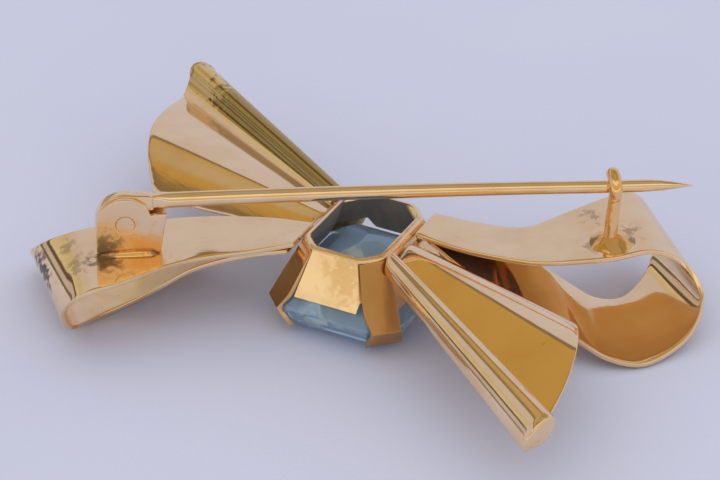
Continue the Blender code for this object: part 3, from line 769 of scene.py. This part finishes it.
class BROOCH_OT_hems(bpy.types.Operator):
    """The metal that closes each tail's roll: a skin along the panel and a filled end."""

    bl_idname = "brooch.hems"
    bl_label = "Hems"

    stations = 12
    root_gap = 1.3 * MM
    sink = 0.04 * MM
    bury = 0.1 * MM
    inner_share = 0.6

    curve_steps = 14
    curve_spread = 0.6
    curve_end_gap = 0.15 * MM
    curve_end_pull = 2.4 * MM

    slope_steps = 10
    slope_spread = 0.8
    slope_end_gap = 0.12 * MM
    slope_dip = 0.14
    slope_slant = 0.5
    slope_foot = 4
    slope_inner = 0.5
    skin = 0.37 * MM
    crest_turn = math.radians(-22)
    top_turns = (-6, 10, 24, 36, 50, 66)

    # How far past the sheet's end each row of the cap lies, and how far outside the oval, in mm.
    cap_rows = ((-0.5, 0.36), (-0.02, 0.36), (0.09, 0.31), (0.16, 0.2), (0.19, 0.0), (0.2, -0.3))
    cap_corners = 28

    def execute(self, context):
        gold, _ = settings()
        for name, roll, cover in (
            ("right_hem", RIGHT_ROLL, self.curve),
            ("left_hem", LEFT_ROLL, self.slope),
        ):
            solid = bmesh.new()
            finishes = self.finishes(name, roll, gold)
            cover(solid, roll)
            self.end(solid, roll, len(finishes) - 1)
            bmesh.ops.recalc_face_normals(solid, faces=solid.faces[:])
            shade(solid, CREASE)
            piece(name, solid, finishes, "bow", "gold")
        return {"FINISHED"}

    def finishes(self, name, roll, gold):
        """The ribbon's gold, and for the left roll a painted olive reflection that is paler at the end."""
        marks = {"grain": LONG_GRAIN, "turn": -roll.turn, "wave": 0.06}
        made = [gold_finish(name + "_gold", gold.ribbon, gold.polish, **marks)]
        if roll is LEFT_ROLL:
            # Painted reflection: the left hem's olive stands for dark olive surroundings mirrored in it,
            # and the paler spot at its end for a paler reflection.
            painted_olive_reflection = tinted(gold.ribbon, (0.46, 0.42, 0.2))
            pale = tinted(gold.ribbon, (0.95, 0.88, 0.55))
            end = roll.place(roll.length - 1.5 * MM, *roll.tip(roll.length))
            spots = ((end, 4.5 * MM, pale, 0.9),)
            made.append(gold_finish(name + "_olive", painted_olive_reflection, gold.polish, spots, **marks))
        return made

    def curve(self, solid, roll):
        """Runs from the panel up to the roll's tip, and back inside the roll."""
        steps = self.curve_steps
        first = roll.root + self.root_gap
        rows = []
        for station in range(self.stations + 1):
            row = []
            for step in range(steps + 3):
                share = min(1, step / steps)
                pull = self.curve_end_pull * self.curve_spread * (1 - share)
                last = roll.length - self.curve_end_gap - pull
                reach = first + (last - first) * station / self.stations
                tip = roll.tip(reach)
                base = roll.panel(tip.x)
                start = roll.panel(tip.x - (tip.y - base.y) * self.curve_spread)
                spot = start.lerp(base, share).lerp(base.lerp(tip, share), share)
                if step == 0:
                    spot.y -= self.sink
                if step == steps + 1:
                    spot = tip * self.inner_share
                if step == steps + 2:
                    spot = roll.panel(tip.x * self.inner_share) - Vector((0, self.bury))
                row.append(roll.place(reach, *spot))
            rows.append(row)
        loft(solid, rows)

    def slope(self, solid, roll):
        """Climbs from the panel and lies over the roll's top; its foot keeps the first finish."""
        first = roll.root + self.root_gap
        rows = []
        for station in range(self.stations + 1):
            reach = first + (roll.length - self.slope_end_gap - first) * station / self.stations
            tip = roll.tip(reach)
            crest = roll.round(reach, self.crest_turn, self.skin)
            start = roll.panel(tip.x - (tip.y - roll.panel(tip.x).y) * self.slope_spread)
            climb = crest - start
            middle = start + climb / 2 - Vector((-climb.y, climb.x)) * self.slope_dip
            row = []
            for step in range(self.slope_steps + 1):
                share = step / self.slope_steps
                row.append(start.lerp(middle, share).lerp(middle.lerp(crest, share), share))
            row[0].y -= self.sink
            for turn in self.top_turns:
                row.append(roll.round(reach, math.radians(turn), self.skin))
            row.append(tip * self.slope_inner)
            row.append(roll.panel(tip.x * self.inner_share) - Vector((0, self.bury)))
            slant = self.slope_slant * station / self.stations
            rows.append([roll.place(reach + min(0, (spot.x - crest.x) * slant), *spot) for spot in row])
        rings = loft(solid, rows)
        foot = {vert for ring in rings for vert in ring[: self.slope_foot]}
        for face in solid.faces:
            face.material_index = 0 if any(vert in foot for vert in face.verts) else 1

    def end(self, solid, roll, material):
        """An oval cap that closes over the sheet's end."""
        corners = self.cap_corners
        rows = []
        for beyond, growth in self.cap_rows:
            row = []
            for k in range(corners):
                rolled = min(1, k / (corners // 2), (corners - k) / (corners // 4))
                reach = roll.length + roll.overhang * (1 - (1 - rolled) ** 2) + beyond * MM
                turn = roll.first - math.tau * k / corners
                row.append(roll.place(reach, *roll.round(roll.length, turn, growth * MM)))
            rows.append(row)
        for ring in loft(solid, rows):
            for vert in ring:
                for face in vert.link_faces:
                    face.material_index = material


class BROOCH_OT_setting(bpy.types.Operator):
    """The collet with its dull inside, and the claws over the stone's corners."""

    bl_idname = "brooch.setting"
    bl_label = "Setting"

    level = 0.8
    rim_band = 0.01 * MM
    plate_share = 0.85

    def execute(self, context):
        self.collet()
        self.claws()
        return {"FINISHED"}

    def collet(self):
        gold, shape = settings()
        low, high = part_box("collet")
        solid = solid_copy("collet")
        flats(solid)
        for face in solid.faces:
            middle = face.calc_center_median()
            inward = face.normal.x * middle.x + face.normal.y * middle.y < 0
            face.material_index = 1 if inward and abs(face.normal.z) < self.level else 0
        bmesh.ops.bevel(
            solid,
            geom=self.outer_rim(solid, high[2] - self.rim_band),
            offset=shape.rim_edge,
            offset_type="OFFSET",
            affect="EDGES",
            segments=4,
            profile=0.5,
            material=-1,
        )
        round_edges(solid, COLLET_CORNER, shape.plate_edge, segments=3)
        shade(solid, CREASE)
        # Painted reflections on the near plate: two darker, redder patches of deep gold and one pale
        # painted highlight.
        plate = Vector((0, low[1] * self.plate_share, (low[2] + high[2]) / 2))
        pale = tuple(min(1, c) for c in tinted(gold.ribbon, (1.06, 1.22, 1.4)))
        spots = (
            (plate + mm(-1.9, 0, 0.6), 1.9 * MM, gold.deep, 0.8),
            (plate + mm(0.9, 0, 1.2), 1.4 * MM, gold.deep, 0.6),
            (plate + mm(1.1, 0, -0.9), 1.3 * MM, pale, 0.8),
        )
        marks = {"squash": (1, 0.4, 0.7), "grain": COLLET_GRAIN, "dent": 0.25, "rub": 0.5}
        outside = gold_finish("collet_gold", gold.ribbon, roughness=0.13, spots=spots, **marks)
        inside = gold_finish("collet_film", gold.deep, roughness=0.28, grain=COLLET_GRAIN, film=0.92)
        keep_flat(piece("collet_wall", solid, [outside, inside], "bow", "gold", "collet"))

    def outer_rim(self, solid, top):
        """The edges between the rim's flat top and the outside."""
        found = []
        for edge in solid.edges:
            high = all(vert.co.z > top for vert in edge.verts)
            walls = [face for face in edge.link_faces if face.normal.z < self.level]
            if high and any(face.material_index == 0 for face in walls):
                found.append(edge)
        return found

    def claws(self):
        gold, shape = settings()
        # Painted shade: the claws on the right get a darker brown copy of the deep gold that the left claws
        # wear.
        painted_shade_brown = tinted(gold.deep, (0.68, 0.6, 0.56))
        marks = {"roughness": 0.15, "grain": COLLET_GRAIN, "dent": 0.12}
        right = gold_finish("right_claw_gold", painted_shade_brown, **marks)
        left = gold_finish("left_claw_gold", gold.deep, **marks)
        for node in ("claw_1", "claw_2", "claw_3", "claw_4"):
            solid = solid_copy(node)
            quads(solid)
            round_edges(solid, SHEET_CORNER, shape.sheet_edge)
            shade(solid, NO_CREASE)
            finish = right if centre_of(node).x > 0 else left
            made = piece(node + "_strip", solid, [finish], "bow", "gold", node)
            subdivide(made, shape.smoothing)


class BROOCH_OT_stone(bpy.types.Operator):
    """The step-cut stone."""

    bl_idname = "brooch.stone"
    bl_label = "Stone"

    def execute(self, context):
        stone = context.scene.brooch_stone
        solid = solid_copy("stone")
        flats(solid)
        round_edges(solid, FACET_CORNER, stone.facet_edge, segments=1)
        for face in solid.faces:
            face.smooth = False
        piece("stone_cut", solid, [stone_finish()], "bow", "stone", "stone")
        return {"FINISHED"}


class BROOCH_OT_hinge(bpy.types.Operator):
    """The hinge's two cheeks and its rivet."""

    bl_idname = "brooch.hinge"
    bl_label = "Hinge"

    rivet_growth = 1.07
    rivet_sink = 0.985
    rivet_edge = 0.4

    def execute(self, context):
        gold, shape = settings()
        foot = foot_of("hinge_front_cheek")
        spots = (
            (foot + mm(0.9, 0, 0), 2.5 * MM, gold.solder, 0.8),
            (foot + mm(-2.2, 0, 0.5), 1.5 * MM, gold.patina_and_painted_dark, 0.65),
        )
        marks = {"spots": spots, "squash": (1, 1, 0.9), "grain": CHEEK_GRAIN}
        finish = gold_finish("cheek_gold", gold.ribbon, roughness=0.2, **marks)
        for node in ("hinge_front_cheek", "hinge_rear_cheek"):
            solid = solid_copy(node)
            flats(solid)
            round_edges(solid, PLATE_CORNER, shape.plate_edge, segments=3)
            shade(solid, CREASE)
            keep_flat(piece(node + "_plate", solid, [finish], "bow", "gold", node))
        solid = solid_copy("hinge_rivet")
        flats(solid)
        axis = centre_of("hinge_rivet")
        for vert in solid.verts:
            away = vert.co - axis
            away.x *= self.rivet_growth
            away.y *= self.rivet_sink
            away.z *= self.rivet_growth
            vert.co = axis + away
        round_edges(solid, CREASE, shape.plate_edge * self.rivet_edge)
        shade(solid, CREASE)
        keep_flat(piece("rivet_head", solid, [finish], "bow", "gold", "hinge_rivet"))
        return {"FINISHED"}


class BROOCH_OT_pin(bpy.types.Operator):
    """The pin: a flat tang that runs out into a round, pointed wire."""

    bl_idname = "brooch.pin"
    bl_label = "Pin"

    overlap = 0.28 * MM
    tang_edge = 1.6
    neck = 1.6 * MM
    neck_rings = 6
    shaft_rings = 22
    point_rings = 8
    point_length = 4.2 * MM
    end_gap = 0.02 * MM
    corners = 32
    neck_width = 0.74
    neck_power = 5

    def execute(self, context):
        gold, shape = settings()
        solid = self.tang(shape)
        self.wire(solid, shape)
        shade(solid, CREASE)
        finish = gold_finish("pin_gold", gold.ribbon, roughness=0.08, grain=WIRE_GRAIN, wave=0.02)
        piece("pin_wire", solid, [finish], "pin", "gold", "pin_stem")
        return {"FINISHED"}

    def tang(self, shape):
        """The flat end, cut off where the wire starts."""
        solid = solid_copy("pin_stem")
        cut = bmesh.ops.bisect_plane(
            solid,
            geom=solid.verts[:] + solid.edges[:] + solid.faces[:],
            plane_co=(shape.wire_start + self.overlap, 0, 0),
            plane_no=(1, 0, 0),
            clear_outer=True,
        )
        rim = [edge for edge in cut["geom_cut"] if isinstance(edge, bmesh.types.BMEdge)]
        bmesh.ops.edgeloop_fill(solid, edges=rim)
        flats(solid)
        round_edges(solid, PLATE_CORNER, shape.plate_edge * self.tang_edge, segments=3)
        return solid

    def wire(self, solid, shape):
        """Rings from the tang's squarish neck to the round point, each as high as the solid is there."""
        tree = tree_of("pin_stem")
        low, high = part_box("pin_stem")
        start = shape.wire_start
        rows = []
        for x in self.places(start, high[0] - self.end_gap):
            top = tree.ray_cast(Vector((x, 0, high[2] + MM)), Vector((0, 0, -1)))[0].z
            bottom = tree.ray_cast(Vector((x, 0, low[2] - MM)), Vector((0, 0, 1)))[0].z
            half = (top - bottom) / 2
            round_share = min(1, (x - start) / self.neck)
            power = 2 / (self.neck_power - (self.neck_power - 2) * round_share)
            width = half * (self.neck_width + (1 - self.neck_width) * round_share)
            row = []
            for k in range(self.corners):
                c = math.cos(math.tau * k / self.corners)
                s = math.sin(math.tau * k / self.corners)
                y = math.copysign(abs(c) ** power, c) * width
                z = math.copysign(abs(s) ** power, s) * half
                row.append(Vector((x, y, (top + bottom) / 2 + z)))
            rows.append(row)
        loft(solid, rows)
        bmesh.ops.recalc_face_normals(solid, faces=solid.faces[:])

    def places(self, start, end):
        """Where the rings stand along X: close on the neck and on the point."""
        point = end - self.point_length
        shaft = point - start - self.neck
        made = [start + self.neck * k / self.neck_rings for k in range(self.neck_rings)]
        made += [start + self.neck + shaft * k / self.shaft_rings for k in range(self.shaft_rings)]
        quarter = math.pi / 2 / self.point_rings
        made += [point + (end - point) * math.sin(k * quarter) for k in range(self.point_rings + 1)]
        return made


class BROOCH_OT_catch(bpy.types.Operator):
    """The hook over the pin's point."""

    bl_idname = "brooch.catch"
    bl_label = "Catch"

    def execute(self, context):
        gold, shape = settings()
        solid = solid_copy("catch_hook")
        quads(solid)
        shade(solid, NO_CREASE)
        spots = ((foot_of("catch_hook"), 1.6 * MM, gold.solder, 0.7),)
        finish = gold_finish("catch_gold", gold.deep, roughness=0.1, spots=spots, dent=0.08)
        made = piece("catch_wire", solid, [finish], "bow", "gold", "catch_hook")
        subdivide(made, shape.smoothing)
        return {"FINISHED"}


class BROOCH_OT_solder(bpy.types.Operator):
    """The solder along the hinge's foot and round the hook's foot."""

    bl_idname = "brooch.solder"
    bl_label = "Solder"

    stain_place = 0.42
    stain_size = 0.2
    lumps = 0.22
    lump_scale = 3.1
    lump_shift = 900
    dome = 1.2
    bead_share = 0.3
    tries = 12
    deepest = 0.8 * MM
    sink = 0.03 * MM
    above = 0.05

    def execute(self, context):
        gold, shape = settings()
        hinge = foot_of("hinge_front_cheek")
        hinge.x -= 0.2 * MM
        hinge.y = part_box("hinge_front_cheek")[0][1] - shape.hinge_bead[1] * self.bead_share
        hook = foot_of("catch_hook") + mm(0.2, -0.6, 0)
        for name, node, place, size, blunt in (
            ("hinge_solder", "left_loop", hinge, shape.hinge_bead, 0.5),
            ("catch_solder", "right_loop", hook, shape.catch_heap, 1.0),
        ):
            stain = Vector((size[0] * self.stain_place, 0, 0))
            radius = size[0] * self.stain_size
            spots = [(place + way * stain, radius, gold.patina_and_painted_dark, 0.75) for way in (1, -1)]
            finish = gold_finish(name + "_gold", gold.solder, roughness=0.16, spots=spots, dent=0.5)
            made = piece(name, self.heap(tree_of(node), place, size, blunt), [finish], "bow", "gold")
            subdivide(made, 1)
        return {"FINISHED"}

    def heap(self, sheet, place, size, blunt):
        """A flat-bottomed lump that lies on the sheet and stops at its edge."""
        solid = bmesh.new()
        bmesh.ops.create_icosphere(solid, subdivisions=3, radius=0.5)
        for vert in solid.verts:
            lump = 1 + self.lumps * noise.noise(vert.co * self.lump_scale + place * self.lump_shift)
            x = math.copysign(abs(2 * vert.co.x) ** blunt / 2, vert.co.x)
            flat = Vector((x * size[0] * lump, vert.co.y * size[1] * lump, 0))
            for step in range(self.tries):
                spot = place + flat * (1 - step / self.tries)
                hit = sheet.ray_cast(Vector((spot.x, spot.y, self.above)), Vector((0, 0, -1)))[0]
                if hit and hit.z > place.z - self.deepest:
                    break
            reach = min(1, 2 * vert.co.xy.length)
            rise = size[2] * lump * (1 - reach**2) ** self.dome if vert.co.z > 0 else -self.sink
            vert.co = (spot.x, spot.y, hit.z + rise)
        for face in solid.faces:
            face.smooth = True
        return solid


class BROOCH_OT_stage(bpy.types.Operator):
    """The pale floor, the studio's light and the camera."""

    bl_idname = "brooch.stage"
    bl_label = "Stage"

    half_floor = 1.5
    floor_drop = 0.02 * MM
    sensor = 36
    nearest = 0.01
    aim_left = 0.33
    aim_down = 1.23
    even_light = (0.97, 0.97, 1.0, 1)
    even_strength = 0.95

    def execute(self, context):
        stage = context.scene.brooch_stage
        self.floor(context, stage)
        self.light(context)
        self.camera(context, stage)
        context.scene.view_settings.view_transform = "Standard"
        return {"FINISHED"}

    def floor(self, context, stage):
        """A plain pale cloth, just under the stone's table."""
        solid = bmesh.new()
        bmesh.ops.create_grid(solid, x_segments=8, y_segments=8, size=self.half_floor)
        bmesh.ops.translate(solid, verts=solid.verts[:], vec=(0, 0, -self.floor_drop))
        mesh = bpy.data.meshes.new("floor")
        solid.to_mesh(mesh)
        solid.free()
        floor = bpy.data.objects.new("floor", mesh)
        context.scene.collection.objects.link(floor)
        look = Finish("floor_cloth")
        paler = look.ramp(look.cloud(scale=12.0), 0.3, 0.7, to_low=0.0, to_high=0.1)
        look.put(look.shader.inputs["Base Color"], look.mix(paler, stage.floor, (1, 1, 1)))
        look.shader.inputs["Roughness"].default_value = 0.9
        weave = look.bump(look.cloud(scale=2600.0, detail=2.0), strength=0.3, distance=0.1 * MM)
        look.put(look.shader.inputs["Normal"], weave.outputs["Normal"])
        mesh.materials.append(look.material)

    def light(self, context):
        """Even light for the floor; metal and stone mirror a far, a left and a near wall."""
        world = bpy.data.worlds.new("studio")
        context.scene.world = world
        world.use_nodes = True
        sky = Nodes(world.node_tree)
        sky.tree.nodes.clear()
        way = sky.node("ShaderNodeTexCoord").outputs["Generated"]
        x, y, z = sky.node("ShaderNodeSeparateXYZ", {0: way}).outputs[:3]
        height = sky.math("MULTIPLY", sky.math("ARCSINE", z), 180 / math.pi)
        side = sky.math("MULTIPLY", sky.math("ARCTAN2", x, y), 180 / math.pi)
        left = sky.math("MULTIPLY", sky.ramp(side, low=-11, high=-19), sky.ramp(side, low=-80, high=-62))
        near = sky.ramp(y, low=-0.1, high=-0.45)
        seen = sky.bands(height, FAR_WALL, ZENITH)
        seen = sky.mix(left, seen, sky.bands(height, LEFT_WALL, ZENITH))
        seen = sky.mix(near, seen, sky.bands(height, NEAR_WALL, ZENITH))
        mirror = sky.node("ShaderNodeBackground", {"Color": seen})
        even = sky.node("ShaderNodeBackground", {"Color": self.even_light, "Strength": self.even_strength})
        glossy = sky.node("ShaderNodeLightPath").outputs["Is Glossy Ray"]
        both = sky.node("ShaderNodeMixShader", {0: glossy, 1: even.outputs[0], 2: mirror.outputs[0]})
        sky.node("ShaderNodeOutputWorld", {"Surface": both.outputs[0]})

    def camera(self, context, stage):
        """Looks at the collet's rim, a little to the left of it and below."""
        a = stage.azimuth
        e = stage.elevation
        back = Vector((math.sin(a) * math.cos(e), -math.cos(a) * math.cos(e), math.sin(e)))
        right = Vector((math.cos(a), math.sin(a), 0))
        up = back.cross(right)
        rim = Vector((0, 0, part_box("collet")[1][2]))
        aim = rim - right * self.aim_left * MM - up * self.aim_down * MM
        data = bpy.data.cameras.new("camera")
        data.lens = stage.lens
        data.sensor_width = self.sensor
        data.clip_start = self.nearest
        camera = bpy.data.objects.new("camera", data)
        context.scene.collection.objects.link(camera)
        camera.location = aim + back * stage.distance
        camera.rotation_mode = "QUATERNION"
        camera.rotation_quaternion = back.to_track_quat("Z", "Y")
        context.scene.camera = camera


class BROOCH_PT_sidebar(bpy.types.Panel):
    """Lists the brooch's settings and its makers."""

    bl_idname = "BROOCH_PT_sidebar"
    bl_label = "Brooch"
    bl_space_type = "VIEW_3D"
    bl_region_type = "UI"
    bl_category = "Brooch"

    def draw(self, context):
        scene = context.scene
        for group in (scene.brooch_gold, scene.brooch_stone, scene.brooch_shape, scene.brooch_stage):
            box = self.layout.box()
            for key in group.__annotations__:
                box.prop(group, key)
        for maker in MAKERS:
            self.layout.operator(maker.bl_idname)


MAKERS = (
    BROOCH_OT_loops,
    BROOCH_OT_tails,
    BROOCH_OT_hems,
    BROOCH_OT_setting,
    BROOCH_OT_stone,
    BROOCH_OT_hinge,
    BROOCH_OT_pin,
    BROOCH_OT_catch,
    BROOCH_OT_solder,
    BROOCH_OT_stage,
)
GROUPS = {
    "brooch_gold": GoldSettings,
    "brooch_stone": StoneSettings,
    "brooch_shape": ShapeSettings,
    "brooch_stage": StageSettings,
}


def register():
    for group in (*GROUPS.values(), *MAKERS, BROOCH_PT_sidebar):
        bpy.utils.register_class(group)
    for key, group in GROUPS.items():
        setattr(bpy.types.Scene, key, PointerProperty(type=group))


def unregister():
    for key in GROUPS:
        delattr(bpy.types.Scene, key)
    for group in reversed((*GROUPS.values(), *MAKERS, BROOCH_PT_sidebar)):
        bpy.utils.unregister_class(group)


def main():
    register()
    bpy.ops.brooch.stage()
    bpy.ops.brooch.loops()
    bpy.ops.brooch.tails()
    bpy.ops.brooch.hems()
    bpy.ops.brooch.setting()
    bpy.ops.brooch.stone()
    bpy.ops.brooch.hinge()
    bpy.ops.brooch.pin()
    bpy.ops.brooch.catch()
    bpy.ops.brooch.solder()


if __name__ == "__main__":
    main()
